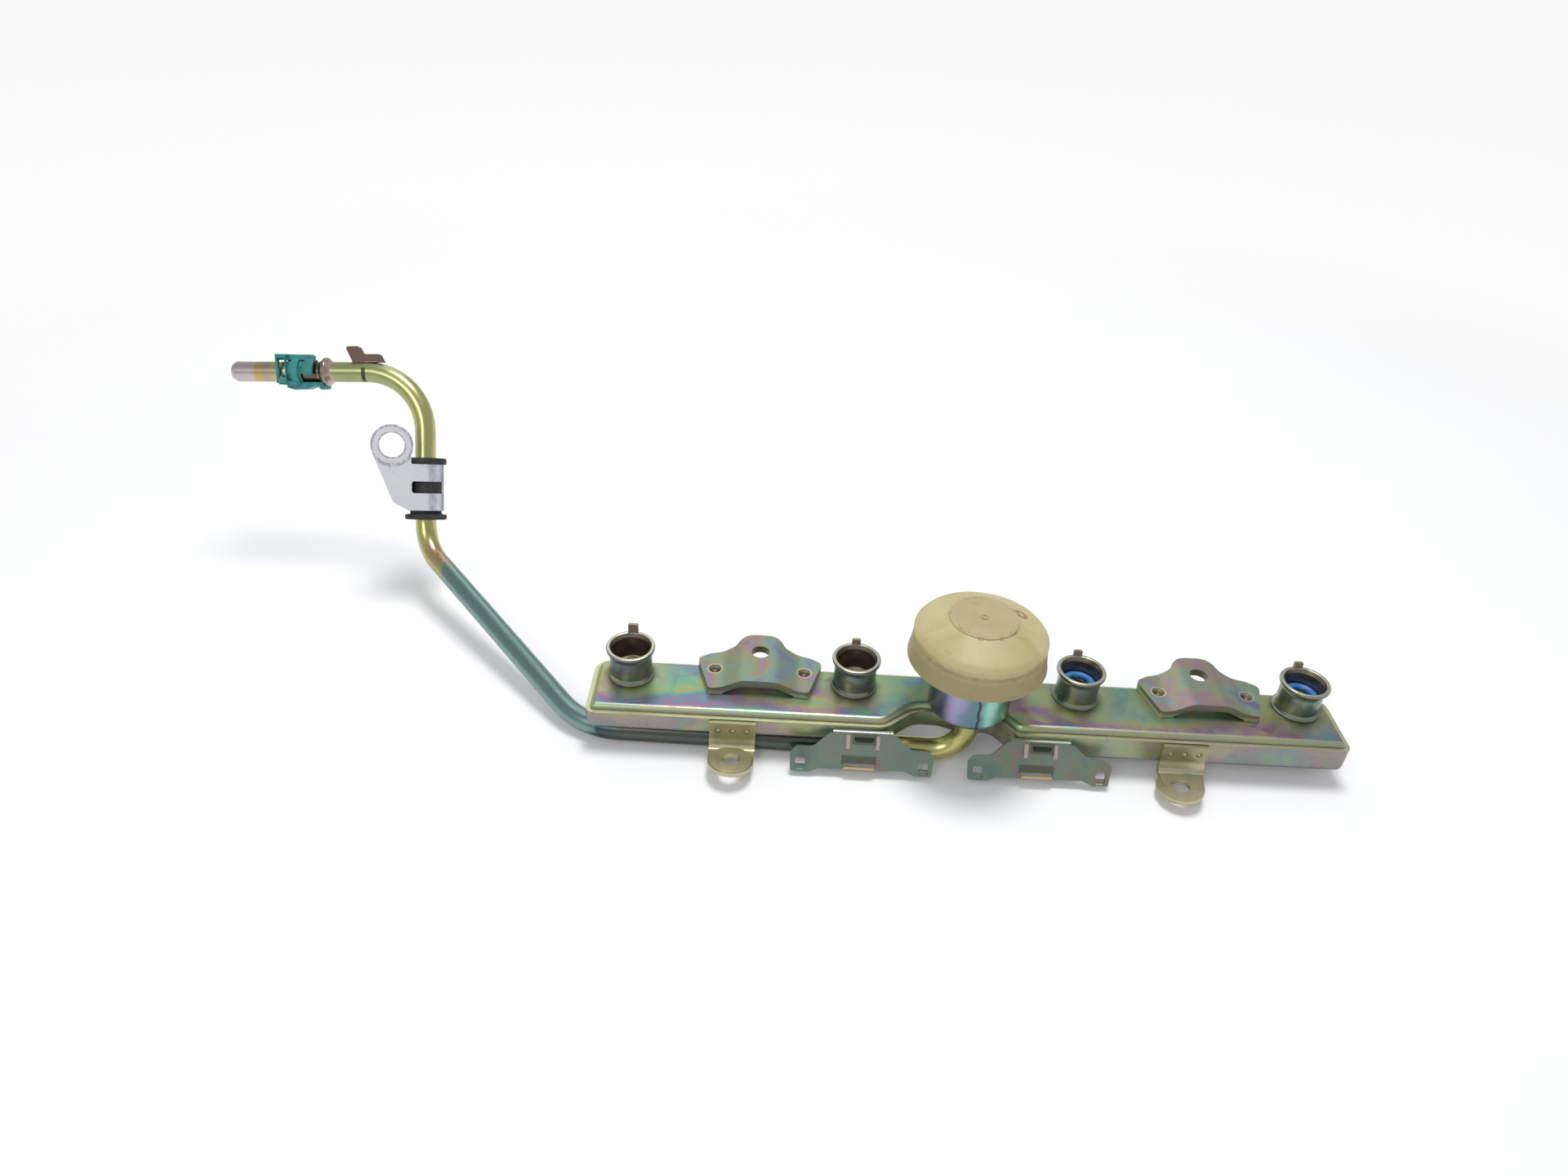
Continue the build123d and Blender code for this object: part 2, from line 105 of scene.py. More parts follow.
class Sig:
    def __init__(self, tree, socket):
        self.tree, self.socket = tree, socket

    def node(self, kind, settings=None, inputs=None, out=0):
        n = self.tree.nodes.new(kind)
        for key, value in (settings or {}).items():
            if key == "stops":
                ramp = n.color_ramp
                while len(ramp.elements) < len(value):
                    ramp.elements.new(0.5)
                for element, (at, colour) in zip(ramp.elements, value):
                    element.position, element.color = at, colour
            else:
                setattr(n, key, value)
        for key, value in (inputs or {}).items():
            if isinstance(value, Sig):
                self.tree.links.new(value.socket, n.inputs[key])
            else:
                n.inputs[key].default_value = value
        return Sig(self.tree, n.outputs[out])

    def math(self, operation, a, b=0.0):
        return self.node("ShaderNodeMath", {"operation": operation}, {0: a, 1: b})

    def __add__(self, other):
        return self.math("ADD", self, other)

    def __radd__(self, other):
        return self.math("ADD", other, self)

    def __sub__(self, other):
        return self.math("SUBTRACT", self, other)

    def __rsub__(self, other):
        return self.math("SUBTRACT", other, self)

    def __mul__(self, other):
        return self.math("MULTIPLY", self, other)

    def __abs__(self):
        return self.math("ABSOLUTE", self)

    def most(self, other):
        return self.math("MAXIMUM", self, other)

    def step(self, low, high):
        # 0 below low, 1 above high, smooth between
        return self.node("ShaderNodeMapRange", {"interpolation_type": "SMOOTHSTEP"},
                         {0: self, 1: low, 2: high, 3: 0.0, 4: 1.0})

    def mix(self, a, b):
        # self is the factor between colours a and b
        return self.node("ShaderNodeMix", {"data_type": "RGBA", "clamp_factor": True},
                         {0: self, 6: a, 7: b}, out=2)

    def noise(self, where, scale, detail=3.0, rough=0.5, warp=0.0):
        return self.node("ShaderNodeTexNoise", {}, {"Vector": where, "Scale": scale, "Detail": detail,
                                                    "Roughness": rough, "Distortion": warp})

    def cells(self, where, scale):
        return self.node("ShaderNodeTexVoronoi", {"feature": "F1"}, {"Vector": where, "Scale": scale})

    def shift(self, by):
        return self.node("ShaderNodeVectorMath", {"operation": "ADD"}, {0: self, 1: by})

    def times(self, by):
        return self.node("ShaderNodeVectorMath", {"operation": "MULTIPLY"}, {0: self, 1: by})

    def part(self, axis):
        return self.node("ShaderNodeSeparateXYZ", {}, {0: self}, out=axis)

    def dot(self, other):
        return self.node("ShaderNodeVectorMath", {"operation": "DOT_PRODUCT"}, {0: self, 1: other}, out=1)

    def distance(self, point):
        return self.node("ShaderNodeVectorMath", {"operation": "DISTANCE"}, {0: self, 1: tuple(point)}, out=1)

    def flatDistance(self, point):
        # distance as seen from above
        return self.times((1.0, 1.0, 0.0)).distance((point[0], point[1], 0.0))

    def ray(self, kind):
        return self.node("ShaderNodeLightPath", {}, {}, out=f"Is {kind} Ray")

    def bump(self, height, strength, distance):
        return self.node("ShaderNodeBump", {}, {"Strength": strength, "Distance": distance, "Height": height})


def between(value, low, high, soft):
    return value.step(low - soft, low) * (1.0 - value.step(high, high + soft))


def within(value, half, soft):
    # 1 near zero, 0 past half on either side
    return 1.0 - abs(value).step(half, half + soft)


def paint(colour, mask, tone, amount=1.0):
    return (mask * amount).mix(colour, screen(*tone))


def newMaterial(name, metallic=0.0, ior=1.5):
    mat = bpy.data.materials.new(name)
    mat.use_nodes = True
    shader = mat.node_tree.nodes["Principled BSDF"]
    shader.inputs["Metallic"].default_value = metallic
    shader.inputs["IOR"].default_value = ior
    root = Sig(mat.node_tree, None)
    where = root.node("ShaderNodeTexCoord", {}, {}, out="Object")
    facing = root.node("ShaderNodeNewGeometry", {}, {}, out="Normal")
    return mat, root, where, facing


def finishMaterial(mat, colour, rough, bump=None, metallic=None):
    # each is a number, a colour or a signal
    shader = mat.node_tree.nodes["Principled BSDF"]
    values = {"Base Color": colour, "Roughness": rough, "Normal": bump, "Metallic": metallic}
    for key, value in values.items():
        if isinstance(value, Sig):
            mat.node_tree.links.new(value.socket, shader.inputs[key])
        elif value is not None:
            shader.inputs[key].default_value = value
    return mat


# zinc plating: the passivation film changes colour with its thickness, so one slow noise runs
# through a ramp of film colours, and dirt, halos round the brazed feet, painted highlights on the bends and
# painted shade on upright faces lie over it

zincBase = {
    "metallic": 0.85, "rough": 0.36, "bump": 0.14, "stretch": (0.45, 1.0, 1.0), "broad": 30.0, "drift": 110.0,
    "spread": 2.3, "ripple": 0.5, "cloud": 46.0, "plainAmount": 0.5, "bendAmount": 0.7, "sideAmount": 0.5,
    "grimeScale": 240.0, "grimeAmount": 0.4, "haloRipple": 0.006, "fine": 1400.0, "streak": 900.0,
    "roughDrift": 0.14, "roughGrime": 0.12, "bumpDepth": 0.0003,
}


def zincPlate(name, settings, seed):
    look = {**zincBase, **settings}
    mat, root, where, facing = newMaterial(name, metallic=look["metallic"])
    spot = where.shift((seed * 0.37, seed * 0.71, seed * 0.13))
    broad = root.noise(spot.times(look["stretch"]), look["broad"], 2.5, 0.5, 0.8)
    drift = root.noise(spot.shift((3.1, 1.7, 0.4)), look["drift"], 3.0, 0.6, 1.0)
    thickness = (broad - 0.5) * look["spread"] + (drift - 0.5) * look["ripple"] + 0.5
    stops = [(at, screen(*tone)) for at, tone in look["film"]]
    colour = root.node("ShaderNodeValToRGB", {"stops": stops}, {0: thickness})
    cloud = root.noise(spot.shift((7.7, 2.2, 5.0)), look["cloud"], 3.0, 0.55, 0.4)
    colour = paint(colour, cloud.step(0.42, 0.62), look["plain"], look["plainAmount"])
    up = facing.part("Z")
    # painted highlight: faces turned partly up, the rounded bends, take the look's bend tone
    bend = up.step(0.15, 0.6) * (1.0 - up.step(0.88, 0.997))
    colour = paint(colour, bend, look["bend"], look["bendAmount"])
    # painted shade: upright faces take the look's side tone, olive and mostly darker than the top
    colour = paint(colour, 1.0 - abs(up).step(0.2, 0.7), look["side"], look["sideAmount"])
    for at, inner, outer, tone, amount in look.get("halos", []):
        ring = 1.0 - (where.flatDistance(at) + (drift - 0.5) * look["haloRipple"]).step(inner, outer)
        colour = paint(colour, ring, tone, amount)
    if "marks" in look:
        colour = look["marks"](root, where, facing, drift, colour)
    grime = root.noise(spot.shift((1.9, 8.3, 2.7)), look["grimeScale"], 4.0, 0.65)
    colour = paint(colour, grime.step(0.58, 0.78), look["grime"], look["grimeAmount"])
    fine = root.noise(spot, look["fine"], 2.0, 0.6)
    streak = root.noise(spot.times((0.12, 1.0, 1.0)), look["streak"], 2.0, 0.5)
    rough = look["rough"] + (broad - 0.5) * look["roughDrift"] + grime.step(0.5, 0.8) * look["roughGrime"]
    height = fine * 0.5 + streak * 0.5 + drift * 0.8
    metallic = look["shine"](where) if "shine" in look else None
    return finishMaterial(mat, colour, rough, root.bump(height, look["bump"], look["bumpDepth"]), metallic)


# each mark is a tone and the place where it lies, in metres of the part's frame where nothing else is said

trayPaint = {
    "ledge": (196, 198, 154), "foot": (126, 108, 122), "footAmount": 0.4, "footZ": (-0.0172, -0.0140),
    "footRipple": 0.004,
}


def trayMarks(root, where, facing, drift, colour):
    # the lower tray's up-facing rim gets a painted highlight, and its foot is purple
    colour = paint(colour, facing.part("Z").step(0.85, 0.98), trayPaint["ledge"])
    height = where.part("Z") + (drift - 0.5) * trayPaint["footRipple"]
    return paint(colour, 1.0 - height.step(*trayPaint["footZ"]), trayPaint["foot"], trayPaint["footAmount"])


cupPaint = {
    "lipZ": (0.0040, 0.0056), "lipSide": (124, 112, 104), "lipTop": (196, 200, 176),
    "bore": (142, 120, 104), "boreR": (0.0074, 0.0078), "tab": (158, 148, 122), "tabZ": (0.0067, 0.0069),
    "shine": 0.88, "tabLoss": 0.5,
}


def cupShine(where):
    # the little tab above the lip is matt
    return cupPaint["shine"] - where.part("Z").step(*cupPaint["tabZ"]) * cupPaint["tabLoss"]


def cupMarks(centre):
    # the bore is stained brown, the flared lip gets a painted highlight where it faces up, the tab is pale
    def marks(root, where, facing, drift, colour):
        inward = where.shift((-centre.x, -centre.y, 0.0)).times((1000.0, 1000.0, 0.0)).dot(facing)
        bore = (1.0 - where.flatDistance(centre).step(*cupPaint["boreR"])) * (1.0 - inward.step(-3.0, 0.0))
        lip = where.part("Z").step(*cupPaint["lipZ"])
        tab = where.part("Z").step(*cupPaint["tabZ"])
        colour = paint(colour, lip, cupPaint["lipSide"], 0.7)
        # painted highlight on the lip's up-facing faces
        colour = paint(colour, lip * facing.part("Z").step(0.35, 0.85), cupPaint["lipTop"], 0.85)
        colour = paint(colour, tab, cupPaint["tab"], 0.9)
        return paint(colour, bore * (1.0 - lip * 0.6) * (1.0 - tab), cupPaint["bore"], 0.85)
    return marks


tubePaint = {
    # zones and bands along the tube: from, to, softness, tone, amount
    # the second zone is painted shade, blue-black, where the rail hangs over the tube
    "zones": [(-0.205, -0.134, 0.006, (126, 154, 148), 1.0), (-0.134, -0.058, 0.008, (62, 72, 80), 0.9)],
    "ripple": 0.016, "blush": (196, 150, 128), "blushX": (-0.208, -0.200),
    "tip": (196, 186, 184), "tipX": (-0.2884, -0.2870),
    "bands": [
        (-0.2874, -0.2842, 0.0010, (196, 170, 112), 1.0), (-0.2842, -0.2812, 0.0010, (176, 164, 150), 1.0),
        (-0.2812, -0.2768, 0.0010, (190, 170, 128), 1.0), (-0.2764, -0.2700, 0.0003, (230, 222, 196), 1.0),
        (-0.2690, -0.2622, 0.0004, (104, 88, 66), 1.0), (-0.2622, -0.2582, 0.0004, (172, 158, 148), 0.85),
        (-0.2601, -0.2597, 0.0002, (96, 80, 66), 0.8), (-0.2580, -0.2570, 0.0008, (206, 160, 168), 0.55),
    ],
    "dashX": (-0.2446, -0.2433), "dashZ": (0.0545, 0.0600), "dash": (56, 54, 40),
}


def tubeMarks(root, where, facing, drift, colour):
    # turquoise on the long diagonal, painted shade in blue-black on the stretch under the rail, bands and a
    # paint dash near the open end
    plain = where.part("X")
    x = plain + (drift - 0.5) * tubePaint["ripple"]
    for low, high, soft, tone, amount in tubePaint["zones"]:
        colour = paint(colour, between(x, low, high, soft), tone, amount)
    blush = root.noise(where.shift((0.4, 0.2, 0.6)), 42.0, 2.0, 0.5)
    blushed = blush.step(0.56, 0.68) * (1.0 - x.step(*tubePaint["blushX"]))
    colour = paint(colour, blushed, tubePaint["blush"], 0.6)
    colour = paint(colour, 1.0 - plain.step(*tubePaint["tipX"]), tubePaint["tip"])
    for low, high, soft, tone, amount in tubePaint["bands"]:
        colour = paint(colour, between(plain, low, high, soft), tone, amount)
    dash = between(plain, *tubePaint["dashX"], 0.0003) * between(where.part("Z"), *tubePaint["dashZ"], 0.0006)
    return paint(colour, dash, tubePaint["dash"], 0.9)


brazeTone, tabEdge = (176, 176, 132), (226, 218, 204)


def brazeMarks(root, where, facing, drift, colour):
    # pale spots on the bead
    return paint(colour, drift.step(0.45, 0.6), brazeTone, 0.4)


def tabMarks(root, where, facing, drift, colour):
    # painted highlight on the up-facing cut edges on top
    return paint(colour, facing.part("Z").step(0.60, 0.80), tabEdge)


clipPaint = {
    # the plates' middles and their leaning foot line in rail millimetres, the lean in degrees
    "centres": {"left": -37.0, "right": 24.8}, "foot": (0.0, -21.6, -5.2), "lean": 32.0,
    "ribAt": 0.00515, "ribHalf": 0.0006, "ribV": (-0.0043, 0.0004), "rib": (206, 186, 172),
    "stripAt": -0.0011, "stripHalf": 0.0058, "stripV": (-0.0096, -0.0072), "strip": (92, 88, 80),
    "lipHalf": 0.0054, "lipV": (-0.0110, -0.0098), "lipOut": (0.0009, 0.0012), "lip": (226, 196, 138),
    "slotAt": 0.0005, "slotHalf": 0.0040, "slotV": 0.0009, "slotReach": 0.0018, "slot": (84, 82, 70),
    "edge": (190, 192, 166),
}


def clipMarks(centreX):
    # painted highlights on the raised ribs and on the up-facing cut edges, a dark pressed strip above the
    # gold lip, a dark slot
    p = clipPaint
    sine, cosine = math.sin(math.radians(p["lean"])), math.cos(math.radians(p["lean"]))
    foot = railPoint(*p["foot"])

    def marks(root, where, facing, drift, colour):
        u = where.part("X") - centreX                  # along the plate, up it, and out of it
        y, z = where.part("Y") - foot.y, where.part("Z") - foot.z
        v, w = y * sine + z * cosine, z * sine - y * cosine
        # painted highlight along the raised ribs
        ribs = within(abs(u) - p["ribAt"], p["ribHalf"], 0.0002) * between(v, *p["ribV"], 0.0002)
        colour = paint(colour, ribs, p["rib"], 0.9)
        strip = within(u - p["stripAt"], p["stripHalf"], 0.0006) * between(v, *p["stripV"], 0.0008)
        colour = paint(colour, strip, p["strip"], 0.75)
        lip = within(u - p["stripAt"], p["lipHalf"], 0.0002) * (1.0 - v.step(*p["lipV"]))
        colour = paint(colour, lip * w.step(*p["lipOut"]), p["lip"])
        slot = within(u - p["slotAt"], p["slotHalf"], 0.0004) * within(v + p["slotV"], p["slotReach"], 0.0004)
        colour = paint(colour, slot, p["slot"], 0.6)
        # painted highlight on the up-facing edges
        return paint(colour, facing.part("Z").step(0.72, 0.82), p["edge"], 0.6)
    return marks


bracketPaint = {
    "dimples": (-16.0, 16.0), "dimpleY": 1.2,      # along from the bolt hole, and behind the cup line, in mm
    "rimR": (0.0021, 0.0027), "rim": (204, 200, 168), "pitR": (0.0015, 0.0021), "pit": (98, 78, 58),
    "footZ": (-0.0048, -0.0036), "foot": (206, 206, 170),
}


def bracketMarks(root, where, facing, drift, colour):
    # weld dimples are brown inside with a painted highlight round the rim, and the feet's low upright edges
    # get a painted highlight
    for bolt in boltLine:
        for side in bracketPaint["dimples"]:
            far = where.flatDistance(railPoint(bolt + side, bracketPaint["dimpleY"], 0))
            # painted highlight round each dimple's rim
            colour = paint(colour, between(far, *bracketPaint["rimR"], 0.0003), bracketPaint["rim"], 0.5)
            colour = paint(colour, 1.0 - far.step(*bracketPaint["pitR"]), bracketPaint["pit"], 0.9)
    # painted highlight on the low upright edges of the feet
    edge = 1.0 - abs(facing.part("Z")).step(0.2, 0.6)
    low = 1.0 - where.part("Z").step(*bracketPaint["footZ"])
    return paint(colour, edge * low, bracketPaint["foot"], 0.7)


strapPaint = {"slope": (214, 208, 178), "slopeZ": (-0.0186, -0.0158)}


def strapMarks(root, where, facing, drift, colour):
    # painted highlight, pale, on the short slope below the crease
    slope = between(where.part("Z"), *strapPaint["slopeZ"], 0.0006)
    return paint(colour, slope, strapPaint["slope"], 0.45)


cupPlaces = [railPoint(x, 0, 0) for x in cupLine]
haloGreen, haloDark = (168, 176, 116), (104, 98, 84)
railLook = {
    "film": [(0.0, (106, 106, 130)), (0.16, (108, 146, 146)), (0.30, (140, 172, 142)),
             (0.42, (168, 170, 118)), (0.52, (166, 142, 142)), (0.62, (144, 116, 146)),
             (0.74, (108, 138, 156)), (0.86, (118, 172, 132)), (1.0, (176, 160, 104))],
    "plain": (150, 156, 154), "plainAmount": 0.28, "bend": (184, 196, 146), "bendAmount": 0.8,
    "side": (150, 150, 122), "sideAmount": 0.6, "grime": (100, 96, 92), "rough": 0.36,
    "halos": [(p, 0.0105, 0.0170, haloGreen, 0.55) for p in cupPlaces]
             + [(p, 0.0080, 0.0100, haloDark, 0.5) for p in cupPlaces],
}
trayLook = {**railLook, "side": (150, 152, 124), "sideAmount": 0.5, "marks": trayMarks, "halos": []}
tubeLook = {
    "film": [(0.0, (140, 146, 96)), (0.25, (190, 184, 110)), (0.5, (212, 204, 128)), (0.7, (176, 182, 124)),
             (1.0, (150, 166, 122))],
    "plain": (196, 194, 126), "plainAmount": 0.4, "bend": (204, 204, 142), "bendAmount": 0.4,
    "side": (160, 160, 108), "sideAmount": 0.4, "grime": (90, 80, 64), "grimeAmount": 0.16,
    "rough": 0.27, "metallic": 0.95, "stretch": (0.5, 0.5, 0.5), "bump": 0.04, "marks": tubeMarks,
}
cupLook = {
    "film": [(0.0, (92, 98, 102)), (0.22, (112, 132, 128)), (0.42, (150, 156, 128)), (0.60, (130, 118, 126)),
             (0.8, (100, 124, 134)), (1.0, (140, 138, 108))],
    "plain": (132, 138, 122), "plainAmount": 0.35, "bend": (170, 178, 146), "bendAmount": 0.5,
    "side": (118, 126, 112), "sideAmount": 0.25, "grime": (78, 68, 56), "rough": 0.30,
    "broad": 60.0, "drift": 160.0, "stretch": (1.0, 1.0, 1.0), "shine": cupShine,
}
bracketLook = {
    "film": [(0.0, (122, 110, 140)), (0.2, (122, 144, 152)), (0.4, (132, 152, 128)), (0.55, (150, 144, 112)),
             (0.68, (156, 122, 138)), (0.84, (120, 150, 142)), (1.0, (146, 148, 116))],
    "plain": (134, 138, 136), "plainAmount": 0.3, "bend": (178, 184, 150), "bendAmount": 0.15,
    "side": (126, 126, 98), "sideAmount": 0.6, "grime": (112, 102, 86), "rough": 0.46,
    "broad": 52.0, "stretch": (1.0, 1.0, 1.0), "metallic": 0.72, "marks": bracketMarks,
}
sideTabLook = {
    "film": [(0.0, (142, 154, 128)), (0.3, (172, 170, 130)), (0.55, (188, 176, 130)), (0.75, (170, 150, 130)),
             (1.0, (150, 166, 136))],
    "plain": (172, 170, 134), "plainAmount": 0.5, "bend": (206, 198, 146), "bendAmount": 0.5,
    "side": (146, 140, 110), "sideAmount": 0.5, "grime": (104, 92, 70), "rough": 0.34,
    "broad": 70.0, "stretch": (1.0, 1.0, 1.0), "marks": strapMarks,
}
clipLook = {
    "film": [(0.0, (108, 122, 120)), (0.25, (118, 146, 134)), (0.5, (138, 148, 130)), (0.70, (132, 142, 126)),
             (0.80, (160, 130, 128)), (0.88, (124, 140, 136)), (1.0, (138, 154, 122))],
    "plain": (130, 142, 134), "plainAmount": 0.45, "bend": (150, 160, 138), "bendAmount": 0.1,
    "side": (122, 130, 118), "sideAmount": 0.2, "grime": (98, 92, 82), "rough": 0.38,
    "broad": 46.0, "stretch": (1.0, 1.0, 1.0), "metallic": 0.8,
}
tabLook = {
    "film": [(0.0, (104, 84, 76)), (0.5, (122, 98, 88)), (1.0, (104, 92, 78))],
    "plain": (112, 92, 82), "bend": (204, 190, 170), "side": (104, 84, 76), "bendAmount": 0.0,
    "grime": (66, 54, 46), "rough": 0.38, "marks": tabMarks,
}


# the can runs from blue on the left, with painted shade on its left flank, to turquoise on the right, with a
# wavy dark seam in front

damperAxis = railPoint(0.1, -8.1, 0)
canPaint = {
    "first": (136, 140, 172),
    "tones": [
        (-0.012, -0.008, (156, 150, 186)), (-0.008, -0.002, (104, 132, 140)),
        (0.001, 0.006, (150, 208, 192)), (0.009, 0.0135, (110, 134, 120)),
    ],
    "wobble": 0.010, "dark": (96, 90, 100), "darkX": (-0.0142, -0.0122),
    "seam": (62, 58, 62), "seamX": 0.0010, "seamWave": 0.0030, "seamWidth": (0.0001, 0.0007),
    "frontY": (-0.004, 0.0), "cloud": (176, 136, 178),
}


def canPlate():
    mat, root, where, _ = newMaterial("damperBlue", metallic=0.9)
    local = where.shift(tuple(-damperAxis))
    x = local.part("X")
    wobble = root.noise(where, 120.0, 2.0, 0.5)
    across = x + (wobble - 0.5) * canPaint["wobble"]
    colour = screen(*canPaint["first"])
    for low, high, tone in canPaint["tones"]:
        colour = paint(colour, across.step(low, high), tone)
    # painted shade on the can's left flank
    colour = paint(colour, 1.0 - x.step(*canPaint["darkX"]), canPaint["dark"])
    wave = root.noise(local.times((0.0, 0.0, 1.0)), 260.0, 2.0, 0.6)
    seam = abs(x - canPaint["seamX"] + (wave - 0.5) * canPaint["seamWave"])
    front = 1.0 - local.part("Y").step(*canPaint["frontY"])
    colour = paint(colour, (1.0 - seam.step(*canPaint["seamWidth"])) * front, canPaint["seam"])
    cloud = root.noise(where.shift((2.0, 0.3, 0.9)), 190.0, 3.0, 0.6)
    colour = paint(colour, cloud.step(0.58, 0.75), canPaint["cloud"], 0.4)
    fine = root.noise(where.times((1.0, 1.0, 0.2)), 1100.0, 2.0, 0.5)
    return finishMaterial(mat, colour, 0.24 + cloud * 0.10, root.bump(fine, 0.12, 0.0002))


capPaint = {
    "subsurface": 0.25, "scatter": (0.004, 0.003, 0.0015), "specular": 0.4,
    "pale": (194, 182, 136), "deep": (180, 168, 118), "stain": (150, 132, 92), "spot": (138, 140, 110),
    "disc": (172, 155, 118), "discR": (0.0110, 0.0124),
    "ring": (120, 96, 62), "ringR": (0.0110, 0.0122), "ringZ": (0.030, 0.032),
    "skirt": (156, 144, 102), "skirtZ": (0.0215, 0.0262),
    "groove": (128, 108, 72), "grooveZ": (0.0240, 0.0252), "grooveR": (0.0205, 0.0215),
    "burn": (128, 96, 58), "burnAt": (13.2, -3.6, 37.2), "burnR": (0.0014, 0.0022),
}


def capPlastic():
    # yellowed plastic: a brown disc with a broken ring on top, a darker groove, painted shade on the lower
    # skirt, one burn
    mat, root, where, _ = newMaterial("agedCapPlastic", ior=1.46)
    shader = mat.node_tree.nodes["Principled BSDF"]
    shader.inputs["Subsurface Weight"].default_value = capPaint["subsurface"]
    shader.inputs["Subsurface Radius"].default_value = capPaint["scatter"]
    shader.inputs["Specular IOR Level"].default_value = capPaint["specular"]
    cloud = root.noise(where, 60.0, 4.0, 0.55, 0.6)
    stain = root.noise(where.shift((4.0, 1.0, 2.0)), 150.0, 4.0, 0.6, 1.2)
    height = where.part("Z")
    out = where.flatDistance(damperAxis)
    colour = paint(screen(*capPaint["pale"]), cloud.step(0.35, 0.68), capPaint["deep"])
    disc = 1.0 - (out + (stain - 0.5) * 0.003).step(*capPaint["discR"])
    colour = paint(colour, disc, capPaint["disc"], 0.6)
    ring = between(out, *capPaint["ringR"], 0.0004) * stain.step(0.50, 0.66) * height.step(*capPaint["ringZ"])
    colour = paint(colour, ring, capPaint["ring"], 0.7)
    # painted shade: the lower skirt is darker
    skirt = 1.0 - (height + (cloud - 0.5) * 0.004).step(*capPaint["skirtZ"])
    colour = paint(colour, skirt, capPaint["skirt"], 0.8)
    colour = paint(colour, stain.step(0.58, 0.76), capPaint["stain"], 0.5)
    groove = between(height, *capPaint["grooveZ"], 0.0005) * out.step(*capPaint["grooveR"])
    colour = paint(colour, groove * stain.step(0.45, 0.70), capPaint["groove"], 0.5)
    spots = root.cells(where.shift((0.3, 0.9, 0.1)), 130.0)
    colour = paint(colour, (1.0 - spots.step(0.05, 0.16)) * stain.step(0.45, 0.6), capPaint["spot"], 0.5)
    burn = between(where.distance(railPoint(*capPaint["burnAt"])), *capPaint["burnR"], 0.0007)
    colour = paint(colour, burn, capPaint["burn"], 0.75)
    fine = root.noise(where, 800.0, 3.0, 0.6)
    return finishMaterial(mat, colour, 0.40 + cloud * 0.16, root.bump(fine + cloud * 2.0, 0.15, 0.0003))


clampPaint = {
    "front": (0.303, -0.818, 0.489), "eye": (-223.24, 77.86, 43.98),   # the way the plate faces, and its eye
    "pale": (222, 222, 228), "dull": (198, 200, 208), "streak": (160, 162, 172), "away": (112, 112, 122),
    "glint": (248, 248, 250), "rim": (150, 150, 158), "rims": [(0.0047, 0.0052), (0.0073, 0.0084)],
}


def rolledAluminium():
    # faces that turn away from the plate's front get painted shade, faces toward the front a painted
    # highlight, and grey lines of painted shade run round the eye
    mat, root, where, facing = newMaterial("rolledAluminium", metallic=0.85)
    cloud = root.noise(where, 130.0, 3.0, 0.6)
    streak = root.noise(where.times((1.0, 1.0, 0.12)), 900.0, 3.0, 0.55)
    front = facing.dot(clampPaint["front"])
    colour = paint(screen(*clampPaint["pale"]), cloud.step(0.35, 0.7), clampPaint["dull"])
    colour = paint(colour, streak.step(0.50, 0.66), clampPaint["streak"], 0.5)
    # painted shade on faces turned away from the front
    colour = paint(colour, 1.0 - front.step(0.25, 0.85), clampPaint["away"])
    # painted highlight on faces toward the front
    glint = front.step(0.97, 0.999) * (1.0 - streak.step(0.60, 0.75) * 0.4)
    colour = paint(colour, glint, clampPaint["glint"])
    # painted shade: grey lines round the eye
    far = where.distance(railPoint(*clampPaint["eye"])) + (cloud - 0.5) * 0.0006
    inner, outer = (between(far, low, high, 0.0003) for low, high in clampPaint["rims"])
    colour = paint(colour, inner.most(outer) * streak.step(0.30, 0.60), clampPaint["rim"], 0.7)
    return finishMaterial(mat, colour, 0.28 + streak * 0.14, root.bump(streak, 0.2, 0.0002))


def plainRubber(name, dark, pale, rough):
    mat, root, where, _ = newMaterial(name)
    cloud = root.noise(where, 300.0, 4.0, 0.6)
    colour = paint(screen(*dark), cloud.step(0.4, 0.75), pale)
    fine = root.noise(where, 2200.0, 2.0, 0.6)
    return finishMaterial(mat, colour, rough + (cloud - 0.5) * 0.2, root.bump(fine, 0.2, 0.0002))


tealPaint = {"bright": (52, 142, 140), "deep": (36, 112, 108), "dirt": (88, 122, 106)}


def retainerPlastic():
    mat, root, where, _ = newMaterial("tealPlastic", ior=1.48)
    cloud = root.noise(where, 180.0, 3.0, 0.6)
    colour = paint(screen(*tealPaint["bright"]), cloud.step(0.38, 0.7), tealPaint["deep"])
    dirt = root.noise(where.shift((2.0, 5.0, 1.0)), 420.0, 4.0, 0.65)
    colour = paint(colour, dirt.step(0.52, 0.70), tealPaint["dirt"], 0.55)
    return finishMaterial(mat, colour, 0.40 + dirt * 0.2, root.bump(dirt, 0.15, 0.0003))


def springSteel(name, tone):
    # the darker patches have seven tenths of the tone
    mat, root, where, _ = newMaterial(name, metallic=1.0)
    cloud = root.noise(where, 220.0, 3.0, 0.6)
    bright = screen(*tone)
    dark = (*(0.7 * c for c in bright[:3]), 1.0)
    colour = cloud.step(0.4, 0.7).mix(bright, dark)
    return finishMaterial(mat, colour, 0.30 + cloud * 0.12, root.bump(cloud, 0.1, 0.0002))


def dress(names, mat):
    for name in names:
        data = nodes[name].data
        data.materials.clear()
        data.materials.append(mat)


